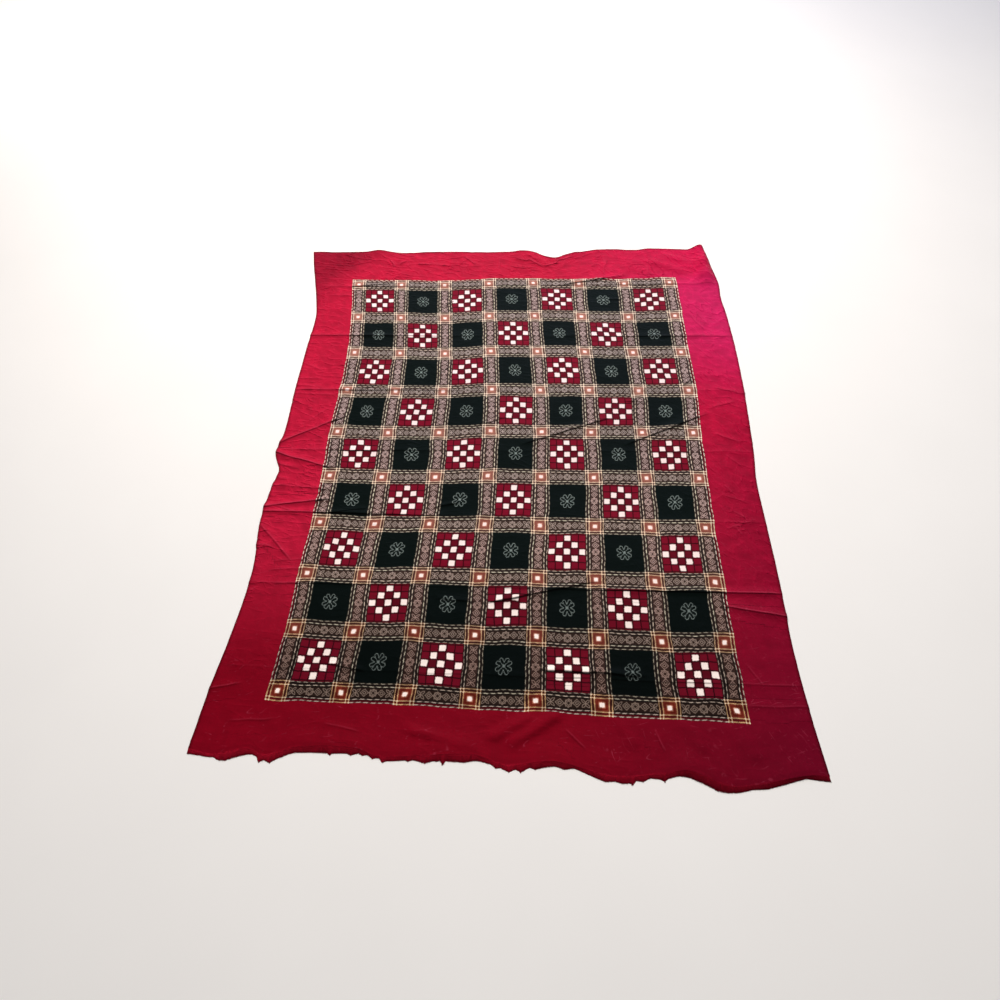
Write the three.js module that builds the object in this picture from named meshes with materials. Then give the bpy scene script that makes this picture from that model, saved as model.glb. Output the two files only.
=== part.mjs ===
// Ikat coverlet, spread on the floor: one thin woven panel that lies in its storage folds and creases,
// with a short matted warp fringe at its near end. Millimetres, +Z up, +Y to the far end.

import * as THREE from "three";

// The panel, flat off the loom
const panel = { width: 1830, length: 2270, thickness: 1.5 };
const halfWidth = panel.width / 2;
const halfLength = panel.length / 2;

// The banded field lies a little nearer to the near end than to the far one
const bandLine = { side: 696, far: 901, near: -962, middle: -30 };
const fieldRise = 30; // from the panel's middle to the field's, along the length, as laid

// The net that carries the folds
const net = { columns: 34, rows: 70 };

// How far each lengthwise line drifts sideways, a row for each station along the panel
const sideDrift = [
  { along: -1135, leftEdge: -39, leftBand: -26, middle: -12, rightBand: 18, rightEdge: 30 },
  { along: -962, leftEdge: -21, leftBand: -20, middle: -7, rightBand: 11, rightEdge: 11 },
  { along: -755, leftEdge: 7, leftBand: -5, middle: -3, rightBand: 4, rightEdge: -2 },
  { along: -548, leftEdge: 23, leftBand: -1, middle: 1, rightBand: 0, rightEdge: -2 },
  { along: -341, leftEdge: 6, leftBand: 9, middle: 9, rightBand: -3, rightEdge: -7 },
  { along: -190, leftEdge: 17, leftBand: 11, middle: 13, rightBand: -2, rightEdge: -12 },
  { along: -115, leftEdge: 29, leftBand: 12, middle: 14, rightBand: -1, rightEdge: -11 },
  { along: -42, leftEdge: 2, leftBand: 10, middle: 14, rightBand: 0, rightEdge: -3 },
  { along: 73, leftEdge: 14, leftBand: 7, middle: 14, rightBand: 1, rightEdge: 3 },
  { along: 280, leftEdge: 14, leftBand: 14, middle: 10, rightBand: 7, rightEdge: 10 },
  { along: 487, leftEdge: 18, leftBand: 14, middle: -3, rightBand: 1, rightEdge: 10 },
  { along: 694, leftEdge: 25, leftBand: -3, middle: -15, rightBand: -3, rightEdge: 1 },
  { along: 800, leftEdge: 8, leftBand: -16, middle: -20, rightBand: -4, rightEdge: -9 },
  { along: 901, leftEdge: -14, leftBand: -28, middle: -26, rightBand: -6, rightEdge: -8 },
  { along: 1020, leftEdge: -42, leftBand: -41, middle: -32, rightBand: -13, rightEdge: -34 },
  { along: 1135, leftEdge: -64, leftBand: -52, middle: -38, rightBand: -22, rightEdge: -60 },
];

// How far each crosswise line drifts along the length, a row for each station across the panel
const bandDrift = [
  { across: -915, near: 18, middle: -4, far: 4 },
  { across: -696, near: 17, middle: -6, far: 3 },
  { across: -497, near: 14, middle: -10, far: 0 },
  { across: -298, near: 14, middle: -8, far: -4 },
  { across: -99, near: 5, middle: 2, far: 10 },
  { across: 99, near: 5, middle: -1, far: 12 },
  { across: 298, near: -3, middle: 0, far: 7 },
  { across: 497, near: -7, middle: 0, far: 6 },
  { across: 696, near: -10, middle: 1, far: 15 },
  { across: 915, near: -12, middle: 2, far: 18 },
];

// The wavy ends: drift along the length, and how far the cloth stands off the floor there
const nearEnd = [
  { across: -915, drift: 8, lift: 0 },
  { across: -840, drift: -6, lift: 0 },
  { across: -748, drift: 13, lift: 3 },
  { across: -690, drift: -3, lift: 0 },
  { across: -600, drift: 22, lift: 5 },
  { across: -420, drift: 24, lift: 7 },
  { across: -358, drift: 2, lift: 2 },
  { across: -220, drift: 9, lift: 5 },
  { across: -75, drift: 15, lift: 7 },
  { across: 22, drift: -10, lift: 0 },
  { across: 160, drift: 3, lift: 6 },
  { across: 320, drift: -32, lift: 0 },
  { across: 450, drift: -22, lift: 1 },
  { across: 533, drift: -11, lift: 6 },
  { across: 640, drift: -48, lift: 0 },
  { across: 720, drift: -42, lift: 0 },
  { across: 852, drift: -15, lift: 5 },
  { across: 915, drift: -14, lift: 0 },
];
const farEnd = [
  { across: -915, drift: -1, lift: 0 },
  { across: -780, drift: -5, lift: 0 },
  { across: -670, drift: -1, lift: 1 },
  { across: -610, drift: 1, lift: 8 },
  { across: -550, drift: -5, lift: 1 },
  { across: -490, drift: -12, lift: 0 },
  { across: -360, drift: -4, lift: 0 },
  { across: -110, drift: -9, lift: 1 },
  { across: 0, drift: -9, lift: 3 },
  { across: 55, drift: -6, lift: 8 },
  { across: 110, drift: -12, lift: 6 },
  { across: 160, drift: -36, lift: 2 },
  { across: 210, drift: -46, lift: 0 },
  { across: 260, drift: -25, lift: 2 },
  { across: 340, drift: -6, lift: 2 },
  { across: 420, drift: 8, lift: 1 },
  { across: 580, drift: 6, lift: 0 },
  { across: 635, drift: 15, lift: 0 },
  { across: 760, drift: 11, lift: 0 },
  { across: 915, drift: 4, lift: 0 },
];
const endReach = 90; // how far from an end its lift dies away

// Folds left by storage, right across the panel: standing heights at the two borders and in the middle
const storageFolds = [
  { along: 930, slope: 0.01, left: 5, middle: 3, right: 5 },
  { along: 614, slope: 0.0, left: 8, middle: 4, right: 8 },
  { along: 312, slope: 0.005, left: 9, middle: 3, right: 5 },
  { along: 12, slope: 0.005, left: 6, middle: 3, right: 6 },
  { along: -278, slope: -0.01, left: 10, middle: 3, right: 3 },
  { along: -552, slope: -0.005, left: 5, middle: 4, right: 10 },
  { along: -850, slope: -0.012, left: 2, middle: 6, right: 6 },
];
const storageHalfWidth = 30;

// Single creases: from one end to the other as laid, with height and half width. One that runs out
// over an edge starts beyond it.
const creases = [
  { name: "far left, through the band", x0: -800, y0: 912, x1: -570, y1: 944, height: 8, half: 28 },
  { name: "far right, through the band", x0: 190, y0: 926, x1: 520, y1: 1000, height: 9, half: 30 },
  { name: "left of the far end's dip", x0: -10, y0: 1200, x1: 185, y1: 1020, height: 9, half: 36 },
  { name: "right of the far end's dip", x0: 300, y0: 1190, x1: 180, y1: 1020, height: 8, half: 34 },
  { name: "far right border, inner", x0: 580, y0: 1105, x1: 780, y1: 1000, height: 11, half: 36 },
  { name: "far right border, outer", x0: 660, y0: 1140, x1: 840, y1: 1055, height: 10, half: 36 },
  { name: "raised far right corner", x0: 848, y0: 1290, x1: 878, y1: 900, height: 30, half: 62 },
  { name: "left border, up to the band", x0: -960, y0: 8, x1: -650, y1: 184, height: 12, half: 30 },
  { name: "left border, down from the bulge", x0: -980, y0: 14, x1: -660, y1: -86, height: 13, half: 30 },
  { name: "left border, low and soft", x0: -960, y0: -148, x1: -640, y1: -174, height: 6, half: 34 },
  { name: "left border, forked", x0: -980, y0: -262, x1: -640, y1: -208, height: 13, half: 30 },
  { name: "left border, down and in", x0: -920, y0: -305, x1: -750, y1: -480, height: 8, half: 28 },
  { name: "middle, rising to the right", x0: 40, y0: 34, x1: 420, y1: 168, height: 12, half: 30 },
  { name: "right, rising to the border", x0: 430, y0: 40, x1: 780, y1: 222, height: 12, half: 30 },
  { name: "low middle, rising", x0: -110, y0: -606, x1: 330, y1: -500, height: 9, half: 30 },
  { name: "low middle, level", x0: 80, y0: -826, x1: 460, y1: -842, height: 8, half: 28 },
  { name: "right border, lower ridge", x0: 690, y0: -602, x1: 980, y1: -646, height: 11, half: 30 },
  { name: "right border, near", x0: 710, y0: -930, x1: 980, y1: -922, height: 6, half: 30 },
  { name: "left border, near", x0: -990, y0: -926, x1: -830, y1: -894, height: 6, half: 30 },
  { name: "near border, long and soft", x0: -320, y0: -1018, x1: -40, y1: -1084, height: 11, half: 42 },
  { name: "near border, first slant", x0: -60, y0: -1052, x1: 90, y1: -972, height: 10, half: 38 },
  { name: "near border, second slant", x0: 0, y0: -1070, x1: 190, y1: -950, height: 12, half: 38 },
  { name: "near border, falling", x0: 320, y0: -955, x1: 405, y1: -1065, height: 8, half: 36 },
  { name: "near border, right", x0: 535, y0: -965, x1: 600, y1: -1080, height: 8, half: 36 },
  { name: "near border, far right", x0: 665, y0: -970, x1: 755, y1: -1095, height: 8, half: 36 },
];
const endTaper = 0.3; // share of a crease over which each end dies away

// The fringe: matted tufts of warp ends on the last picks of the weave
const fringe = {
  gap: 0.35,
  stripWidth: 5,
  tuftsPerColumn: 3, // so that the strip bends where the panel's edge does
  tuftShare: 0.68, // of a tuft's pitch that its root takes
  shortest: 4,
  lean: 0.22,
  touchDown: 0.6, // where along its length a tuft reaches the floor
  waist: 0.8, // width there, as a share of the root's
  tip: 0.22,
};

// How far the tufts reach past the panel's edge, at places across
const fringeReach = [
  [-915, 15], [-875, 9], [-838, 8], [-800, 25], [-750, 20], [-720, 12], [-700, 22], [-672, 26], [-600, 17],
  [-510, 21], [-497, 26], [-450, 19], [-435, 23], [-412, 15], [-385, 7], [-350, 6], [-338, 15], [-300, 11],
  [-265, 15], [-215, 23], [-190, 18], [-162, 32], [-145, 22], [-100, 25], [-62, 16], [-25, 12], [-8, 17],
  [8, 13], [30, 22], [48, 15], [62, 24], [88, 14], [103, 21], [160, 15], [187, 19], [215, 9], [300, 20],
  [325, 15], [350, 20], [377, 25], [390, 14], [405, 19], [425, 12], [464, 24], [500, 16], [550, 24],
  [605, 27], [650, 19], [700, 13], [740, 17], [800, 14], [850, 9], [875, 14], [915, 17],
];

// Value between stations, along a smooth curve through them
function smooth(stations, at) {
  const last = stations.length - 1;
  let k = 0;
  while (k < last - 1 && at > stations[k + 1][0]) k += 1;
  const slope = (i) => {
    const [a, b] = [stations[Math.max(i - 1, 0)], stations[Math.min(i + 1, last)]];
    return (b[1] - a[1]) / (b[0] - a[0]);
  };
  const [x0, y0] = stations[k];
  const [x1, y1] = stations[k + 1];
  const step = x1 - x0;
  const t = (at - x0) / step;
  const t2 = t * t;
  const t3 = t2 * t;
  return (2 * t3 - 3 * t2 + 1) * y0 + (t3 - 2 * t2 + t) * step * slope(k)
    + (3 * t2 - 2 * t3) * y1 + (t3 - t2) * step * slope(k + 1);
}

const column = (table, key, name) => table.map((row) => [row[key], row[name]]);

// Where a point of the flat panel lies on the floor
function laid(across, along) {
  const side = (name) => smooth(column(sideDrift, "along", name), along);
  const band = (name) => smooth(column(bandDrift, "across", name), across);
  const sideways = smooth([
    [-halfWidth, side("leftEdge")],
    [-bandLine.side, side("leftBand")],
    [0, side("middle")],
    [bandLine.side, side("rightBand")],
    [halfWidth, side("rightEdge")],
  ], across);
  const lengthwise = smooth([
    [-halfLength, smooth(column(nearEnd, "across", "drift"), across)],
    [bandLine.near, band("near")],
    [bandLine.middle, band("middle")],
    [bandLine.far, band("far")],
    [halfLength, smooth(column(farEnd, "across", "drift"), across)],
  ], along);
  return { x: across + sideways, y: along + fieldRise + lengthwise };
}

// Soft hump across a fold: one at the crest, nothing past its half width
const hump = (share) => (Math.abs(share) < 1 ? (1 + Math.cos(Math.PI * share)) / 2 : 0);

function storageFold(fold, x, y) {
  const crest = fold.along + fold.slope * x;
  const height = smooth([
    [-halfWidth, fold.left],
    [-bandLine.side, fold.left],
    [0, fold.middle],
    [bandLine.side, fold.right],
    [halfWidth, fold.right],
  ], THREE.MathUtils.clamp(x, -halfWidth, halfWidth));
  return height * hump((y - crest) / storageHalfWidth);
}

function crease({ x0, y0, x1, y1, height, half }, x, y) {
  const length = Math.hypot(x1 - x0, y1 - y0);
  const [dirX, dirY] = [(x1 - x0) / length, (y1 - y0) / length];
  const share = ((x - x0) * dirX + (y - y0) * dirY) / length;
  const off = (x - x0) * dirY - (y - y0) * dirX;
  const fade = Math.min(share, 1 - share) / endTaper;
  return height * hump(off / half) * THREE.MathUtils.smoothstep(fade, 0, 1);
}

function endLift(across, along) {
  const near = smooth(column(nearEnd, "across", "lift"), across);
  const far = smooth(column(farEnd, "across", "lift"), across);
  return Math.max(near, 0) * hump((along + halfLength) / endReach)
    + Math.max(far, 0) * hump((halfLength - along) / endReach);
}

// Height of the panel's underside: folds that meet run into each other instead of adding up
function rise(across, along, { x, y }) {
  const parts = [
    ...storageFolds.map((fold) => storageFold(fold, x, y)),
    ...creases.map((one) => crease(one, x, y)),
    endLift(across, along),
  ];
  return Math.cbrt(parts.reduce((sum, part) => sum + part ** 3, 0));
}

function closedMesh(points, faces) {
  const geometry = new THREE.BufferGeometry();
  geometry.setAttribute("position", new THREE.Float32BufferAttribute(points.flat(), 3));
  geometry.setIndex(faces.flat());
  geometry.computeVertexNormals();
  return geometry;
}

const quad = (a, b, c, d) => [[a, b, c], [a, c, d]];

// The panel: the net's underside and top, and a rim between them
function panelGeometry() {
  const points = [];
  for (let row = 0; row <= net.rows; row += 1) {
    for (let col = 0; col <= net.columns; col += 1) {
      const across = panel.width * (col / net.columns - 0.5);
      const along = panel.length * (row / net.rows - 0.5);
      const place = laid(across, along);
      points.push([place.x, place.y, rise(across, along, place)]);
    }
  }
  const count = points.length;
  const under = (row, col) => row * (net.columns + 1) + col;
  const top = (row, col) => under(row, col) + count;
  points.push(...points.map(([x, y, z]) => [x, y, z + panel.thickness]));

  // Both faces bend along the same diagonals, so that the sheet is as thick in a twisted quad as elsewhere
  const faces = [];
  for (let row = 0; row < net.rows; row += 1) {
    for (let col = 0; col < net.columns; col += 1) {
      const corners = [under(row, col), under(row, col + 1), under(row + 1, col + 1), under(row + 1, col)];
      quad(...corners).forEach(([a, b, c]) => {
        faces.push([a + count, b + count, c + count], [c, b, a]);
      });
    }
  }
  const wall = (a, b) => faces.push(...quad(under(...a), under(...b), top(...b), top(...a)));
  for (let col = 0; col < net.columns; col += 1) {
    wall([0, col], [0, col + 1]);
    wall([net.rows, col + 1], [net.rows, col]);
  }
  for (let row = 0; row < net.rows; row += 1) {
    wall([row, net.columns], [row + 1, net.columns]);
    wall([row + 1, 0], [row, 0]);
  }
  return closedMesh(points, faces);
}

// A point on the panel's near edge, straight between the net's columns as the panel's own edge is
function nearEdge(across) {
  const pitch = panel.width / net.columns;
  const col = Math.min(Math.floor((across + halfWidth) / pitch), net.columns - 1);
  const knot = (k) => {
    const at = pitch * k - halfWidth;
    const place = laid(at, -halfLength);
    return new THREE.Vector3(place.x, place.y, rise(at, -halfLength, place));
  };
  return knot(col).lerp(knot(col + 1), (across + halfWidth) / pitch - col);
}

// Repeatable unevenness from 0 to 1
const uneven = (index) => {
  const wave = Math.sin(index * 12.9898 + 156.466) * 43758.5453;
  return wave - Math.floor(wave);
};

// The fringe: a strip along the near edge, and a tapered tuft out of every other stretch of its front
function fringeGeometry() {
  const tufts = net.columns * fringe.tuftsPerColumn;
  const pitch = panel.width / tufts;
  const stations = [];
  for (let k = 0; k < tufts; k += 1) {
    const start = pitch * k - halfWidth;
    stations.push(start, start + pitch * fringe.tuftShare);
  }
  stations.push(halfWidth);

  const points = [];
  const faces = [];
  const section = (back, front, low, high) => {
    points.push([back.x, back.y, low], [front.x, front.y, low]);
    points.push([front.x, front.y, high], [back.x, back.y, high]);
    return points.length - 4;
  };
  const rings = stations.map((across) => {
    const edge = nearEdge(across);
    const back = { x: edge.x, y: edge.y - fringe.gap };
    const front = { x: edge.x, y: back.y - fringe.stripWidth };
    return section(back, front, edge.z, edge.z + panel.thickness);
  });
  const [lowBack, lowFront, highFront, highBack] = [0, 1, 2, 3];

  rings.slice(0, -1).forEach((left, k) => {
    const right = rings[k + 1];
    faces.push(...quad(left + lowBack, right + lowBack, right + lowFront, left + lowFront));
    faces.push(...quad(left + highFront, right + highFront, right + highBack, left + highBack));
    faces.push(...quad(right + lowBack, left + lowBack, left + highBack, right + highBack));
    if (k % 2 === 0) {
      tuft(k / 2, left, right, smooth(fringeReach, (stations[k] + stations[k + 1]) / 2));
    } else {
      faces.push(...quad(left + lowFront, right + lowFront, right + highFront, left + highFront));
    }
  });
  const first = rings[0];
  const end = rings[rings.length - 1];
  faces.push(...quad(first + lowBack, first + lowFront, first + highFront, first + highBack));
  faces.push(...quad(end + lowFront, end + lowBack, end + highBack, end + highFront));

  function tuft(index, left, right, past) {
    const length = Math.max(past - fringe.gap - fringe.stripWidth, fringe.shortest);
    const lean = fringe.lean * (2 * uneven(index) - 1);
    const [ax, ay] = points[left + lowFront];
    const [bx, by] = points[right + lowFront];
    const middle = { x: (ax + bx) / 2, y: (ay + by) / 2 };
    const ring = (share, width, thickness) => {
      const reach = length * share;
      const half = (bx - ax) * width / 2;
      const tilt = (by - ay) / (bx - ax) * half * (1 - share);
      const x = middle.x + lean * reach;
      const y = middle.y - reach;
      points.push([x - half, y - tilt, 0], [x + half, y + tilt, 0]);
      points.push([x + half, y + tilt, thickness], [x - half, y - tilt, thickness]);
      const at = points.length - 4;
      return [at, at + 1, at + 2, at + 3];
    };
    const root = [left + lowFront, right + lowFront, right + highFront, left + highFront];
    const waist = ring(fringe.touchDown, fringe.waist, panel.thickness);
    const tip = ring(1, fringe.tip, panel.thickness / 2);
    [[root, waist], [waist, tip]].forEach(([from, to]) => {
      for (let side = 0; side < 4; side += 1) {
        const next = (side + 1) % 4;
        faces.push(...quad(from[side], from[next], to[next], to[side]));
      }
    });
    faces.push(...quad(tip[0], tip[1], tip[2], tip[3]));
  }
  return closedMesh(points, faces);
}

const crimsonCotton = new THREE.MeshStandardMaterial({ color: "#b3122f", roughness: 0.9, metalness: 0 });
const crimsonYarn = new THREE.MeshStandardMaterial({ color: "#8e0d22", roughness: 0.95, metalness: 0 });

const cloth = new THREE.Mesh(panelGeometry(), crimsonCotton);
cloth.name = "cloth";
const fringeMesh = new THREE.Mesh(fringeGeometry(), crimsonYarn);
fringeMesh.name = "fringe";

const coverlet = new THREE.Group();
coverlet.add(cloth, fringeMesh);

// The origin is on the floor, under the middle of the whole outline
const middle = new THREE.Box3().setFromObject(coverlet).getCenter(new THREE.Vector3());
coverlet.position.set(-middle.x, -middle.y, 0);
coverlet.updateMatrixWorld(true);

export default coverlet;
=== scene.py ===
# Ikat coverlet spread on a pale floor: the woven sheet in its folds, and its matted fringe
import math
import random

import bmesh
import bpy
import numpy as np
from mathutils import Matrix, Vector, noise


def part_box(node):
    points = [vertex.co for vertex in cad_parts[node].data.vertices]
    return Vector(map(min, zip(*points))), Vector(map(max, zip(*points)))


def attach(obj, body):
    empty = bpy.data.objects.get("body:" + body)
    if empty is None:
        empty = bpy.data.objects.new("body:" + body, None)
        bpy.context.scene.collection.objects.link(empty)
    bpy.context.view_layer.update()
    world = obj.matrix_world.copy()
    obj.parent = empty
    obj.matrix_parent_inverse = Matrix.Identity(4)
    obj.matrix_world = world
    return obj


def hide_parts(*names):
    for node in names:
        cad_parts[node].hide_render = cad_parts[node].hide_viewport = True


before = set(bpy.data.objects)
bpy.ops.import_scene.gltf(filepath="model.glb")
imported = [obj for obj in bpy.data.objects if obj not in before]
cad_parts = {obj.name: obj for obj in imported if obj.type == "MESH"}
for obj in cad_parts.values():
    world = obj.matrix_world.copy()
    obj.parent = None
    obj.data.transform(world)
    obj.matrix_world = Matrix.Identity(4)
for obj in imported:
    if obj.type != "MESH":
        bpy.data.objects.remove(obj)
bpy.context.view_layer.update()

mm = 0.001
scene = bpy.context.scene
scene.view_settings.view_transform = "Standard"  # keeps the dye colours as they are mixed


def linear(hexColour):
    parts = [int(hexColour[i:i + 2], 16) / 255 for i in (1, 3, 5)]
    return [p / 12.92 if p <= 0.04045 else ((p + 0.055) / 1.055) ** 2.4 for p in parts] + [1.0]


def addNode(tree, kind, inputs=None, out=0, **settings):
    node = tree.nodes.new(kind)
    for name, value in settings.items():
        setattr(node, name, value)
    for key, value in (inputs or {}).items():
        if isinstance(value, bpy.types.NodeSocket):
            tree.links.new(value, node.inputs[key])
        else:
            node.inputs[key].default_value = value
    return node.outputs[out] if node.outputs else node


def newMaterial(name):
    material = bpy.data.materials.new(name)
    material.use_nodes = True
    material.node_tree.nodes.clear()
    return material, material.node_tree


# The woven panel, flat off the loom, and the net of quads that carries its folds
panel = {
    "width": 1830,  # mm
    "length": 2270,
    "thickness": 1.2,
    "columns": 148,
    "rows": 328,  # closer than the columns, because most creases run across
    "fieldRise": 30,  # the field's middle lies nearer to the near end than the panel's does
}
halfWidth = panel["width"] / 2
halfLength = panel["length"] / 2

# How far lengthwise lines drift sideways when the panel is laid, in mm, at stations along it
sideDrift = {
    "along": (-1135, -962, -755, -548, -341, -190, -115, -42, 73, 280, 487, 694, 800, 901, 1020, 1135),
    "leftEdge": (-39, -21, 7, 23, 6, 17, 29, 2, 14, 14, 18, 25, 8, -14, -42, -64),
    "leftBand": (-26, -20, -5, -1, 9, 11, 12, 10, 7, 14, 14, -3, -16, -28, -41, -52),
    "middle": (-12, -7, -3, 1, 9, 13, 14, 14, 14, 10, -3, -15, -20, -26, -32, -38),
    "rightBand": (18, 11, 4, 0, -3, -2, -1, 0, 1, 7, 1, -3, -4, -6, -13, -22),
    "rightEdge": (30, 11, -2, -2, -7, -12, -11, -3, 3, 10, 10, 1, -9, -8, -34, -60),
}
sideLines = {
    "leftEdge": -halfWidth,
    "leftBand": -696,
    "middle": 0,
    "rightBand": 696,
    "rightEdge": halfWidth,
}

# How far crosswise lines drift along the length, at stations across it
bandDrift = {
    "across": (-915, -696, -497, -298, -99, 99, 298, 497, 696, 915),
    "near": (18, 17, 14, 14, 5, 5, -3, -7, -10, -12),
    "middle": (-4, -6, -10, -8, 2, -1, 0, 0, 1, 2),
    "far": (4, 3, 0, -4, 10, 12, 7, 6, 15, 18),
}
bandLines = {"near": -962, "middle": -30, "far": 901}

# The two wavy ends: drift along the length, and lift off the floor
nearEnd = {
    "across": (-915, -840, -748, -690, -600, -420, -358, -220, -75,
               22, 160, 320, 450, 533, 640, 720, 852, 915),
    "drift": (8, -6, 13, -3, 22, 24, 2, 9, 15, -10, 3, -32, -22, -11, -48, -42, -15, -14),
    "lift": (0, 0, 3, 0, 5, 7, 2, 5, 7, 0, 6, 0, 1, 6, 0, 0, 5, 0),
}
farEnd = {
    "across": (-915, -780, -670, -610, -550, -490, -360, -110, 0,
               55, 110, 160, 210, 260, 340, 420, 580, 635, 760, 915),
    "drift": (-1, -5, -1, 1, -5, -12, -4, -9, -9, -6, -12, -36, -46, -25, -6, 8, 6, 15, 11, 4),
    "lift": (0, 0, 1, 8, 1, 0, 0, 1, 3, 8, 6, 2, 0, 2, 2, 1, 0, 0, 0, 0),
}
endReach = 90  # mm in from an end, over which its lift runs out

# Storage folds, right across: standing heights in mm at the left border, the middle and the right border
storageFolds = [
    {"along": 930, "slope": 0.01, "left": 4, "middle": 2, "right": 4},
    {"along": 614, "slope": 0.0, "left": 7, "middle": 1, "right": 6},
    {"along": 312, "slope": 0.005, "left": 7, "middle": 1, "right": 2.5},
    {"along": 12, "slope": 0.005, "left": 5, "middle": 1.2, "right": 2.5},
    {"along": -278, "slope": -0.01, "left": 9, "middle": 1.2, "right": 2},
    {"along": -552, "slope": -0.005, "left": 4, "middle": 2, "right": 10},
    {"along": -850, "slope": -0.012, "left": 1, "middle": 2, "right": 3},
]

# Main creases as laid: both ends, height, and how far the slope runs out on the lit far side
mainCreases = [
    (-800, 912, -570, 944, 7, 26),  # far left, through the band
    (190, 926, 520, 1000, 9, 28),  # far right, through the band
    (-960, 8, -650, 184, 11, 28),  # left border, up to the band
    (-980, 14, -660, -86, 12, 28),  # down from the bulge
    (-960, -148, -640, -174, 5, 32),  # low and soft
    (-980, -262, -640, -208, 12, 28),  # forked
    (-920, -305, -750, -480, 7, 24),  # down and in
    (20, 36, 405, 184, 9, 34),  # middle, rising to the right
    (416, 36, 790, 212, 9, 34),  # right, rising to the border
    (-110, -617, 330, -516, 8, 28),  # low middle
    (80, -826, 460, -842, 8, 26),
    (690, -602, 980, -646, 10, 28),  # right border, under the storage fold
    (710, -930, 980, -922, 3, 28),
    (-990, -926, -830, -894, 5, 28),
]

# Folds with no sharp crest
softFolds = [
    (-10, 1200, 185, 1020, 9, 34),  # both sides of the far end's dip
    (300, 1190, 180, 1020, 8, 32),
    (580, 1105, 780, 1000, 11, 36),  # far right border
    (660, 1140, 840, 1055, 10, 36),
    (-330, -1014, -40, -1084, 12, 30),  # near border
    (-60, -1056, 100, -966, 13, 34),
    (0, -1074, 200, -944, 15, 34),
    (320, -955, 405, -1065, 8, 36),
    (535, -965, 600, -1080, 8, 36),
    (665, -970, 755, -1095, 8, 36),
]
cornerRidge = (843, 1290, 855, 900, 30, 56)  # the far right corner stands up along this

# Small creases in the borders and over the field
smallCreases = [
    (-860, 864, -730, 860, 3.5, 16), (-900, 460, -790, 405, 3.5, 16), (-940, 366, -800, 370, 3.5, 15),
    (-960, 338, -780, 322, 4.5, 16), (-940, 292, -690, 280, 3.5, 16), (-820, 145, -735, 220, 3.5, 16),
    (-960, -45, -810, -78, 3.5, 16), (-960, -108, -830, -130, 4.5, 16), (-870, -246, -780, -270, 5, 16),
    (-980, -400, -830, -412, 6, 20), (-840, -468, -700, -458, 3.5, 15), (-840, -504, -700, -490, 4, 16),
    (-820, -556, -710, -548, 3.5, 14), (-690, -276, -510, -246, 4.5, 18), (748, 760, 812, 645, 4, 18),
    (780, 765, 835, 670, 4, 18), (790, 335, 960, 290, 5, 18), (770, 226, 890, 264, 4.5, 17),
    (770, 104, 880, 58, 4.5, 17), (800, 6, 866, -54, 3.5, 16), (760, -170, 870, -212, 3, 16),
    (755, -318, 880, -272, 3.5, 17), (755, -795, 802, -868, 3.5, 16), (-150, 132, -20, 176, 4, 18),
    (-640, 300, -560, 342, 4, 18), (-560, -1010, -430, -1034, 3.5, 20), (-860, -1012, -700, -1002, 3, 20),
    (180, -1006, 250, -1068, 4, 22), (450, -1000, 480, -1070, 4, 22), (-430, 1080, -300, 1054, 4, 18),
    (-280, 1050, -150, 1062, 3.5, 18), (-560, 1100, -480, 1030, 4, 20), (420, 1110, 400, 1040, 3.5, 18),
    (-256, 1130, -250, 985, 3, 12), (405, 1125, 398, 990, 3, 12), (606, 1120, 598, 985, 3, 12),
    (-590, -822, -440, -848, 5, 16), (-250, -594, -80, -606, 4, 16), (400, 840, 492, 836, 4, 14),
    (-318, 392, -270, 440, 5, 14), (-325, 790, -275, 835, 5, 14), (672, 335, 722, 378, 4, 14),
    (440, 262, 545, 256, 4, 14), (-290, -243, -175, -216, 5, 15), (-476, 1073, -391, 1065, 8, 14),
    (-257, 1129, -185, 1062, 8, 14), (-561, 1062, -512, 1099, 8, 14), (-604, 1106, -573, 1056, 8, 14),
    (-16, 1116, 81, 1075, 8, 15), (44, 1109, 123, 1049, 9, 15), (123, 1050, 202, 1086, 9, 15),
    (165, 1086, 268, 1123, 8, 15), (-80, 1131, -82, 1035, 4, 12), (776, -128, 812, -166, 4, 14),
    (792, -237, 850, -276, 4, 14), (790, -296, 818, -341, 4, 14),
]
wander = {
    "reach": 4,  # mm that a crease strays from its straight line
    "every": 90,  # and over what length
    "smallEvery": 45,
    "uneven": 0.35,  # share by which its height varies
    "storageUneven": 0.3,
    "runOut": 0.22,  # share of a crease's length over which each end dies away
}
soft = {
    "stand": 0.65,  # share of a fold's height that the mesh takes; its crest is in the weave's relief
    "storageFar": 28,
    "storageNear": 15,
    "selvedgeLow": 0.35,  # share of its height that a storage fold keeps at the selvedge
    "mainNear": 0.75,  # a crease falls off this much quicker on its near side
    "smallNear": 0.7,
    "crestReach": 45,  # mm from a crest to which its sharp line is known
}
# Cloth that is nowhere quite flat: heights and sizes of its lumps, in mm
unrest = {
    "swell": 1.5,
    "swellSize": 150,
    "crumple": 0.9,  # twice that in the borders
    "crumpleSize": 42,
    "lift": 0.6,
    "fieldHalfWidth": 700,
    "fieldHalfLength": 930,
    "borderRun": 60,  # mm from the field out to the full crumple
}


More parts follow.
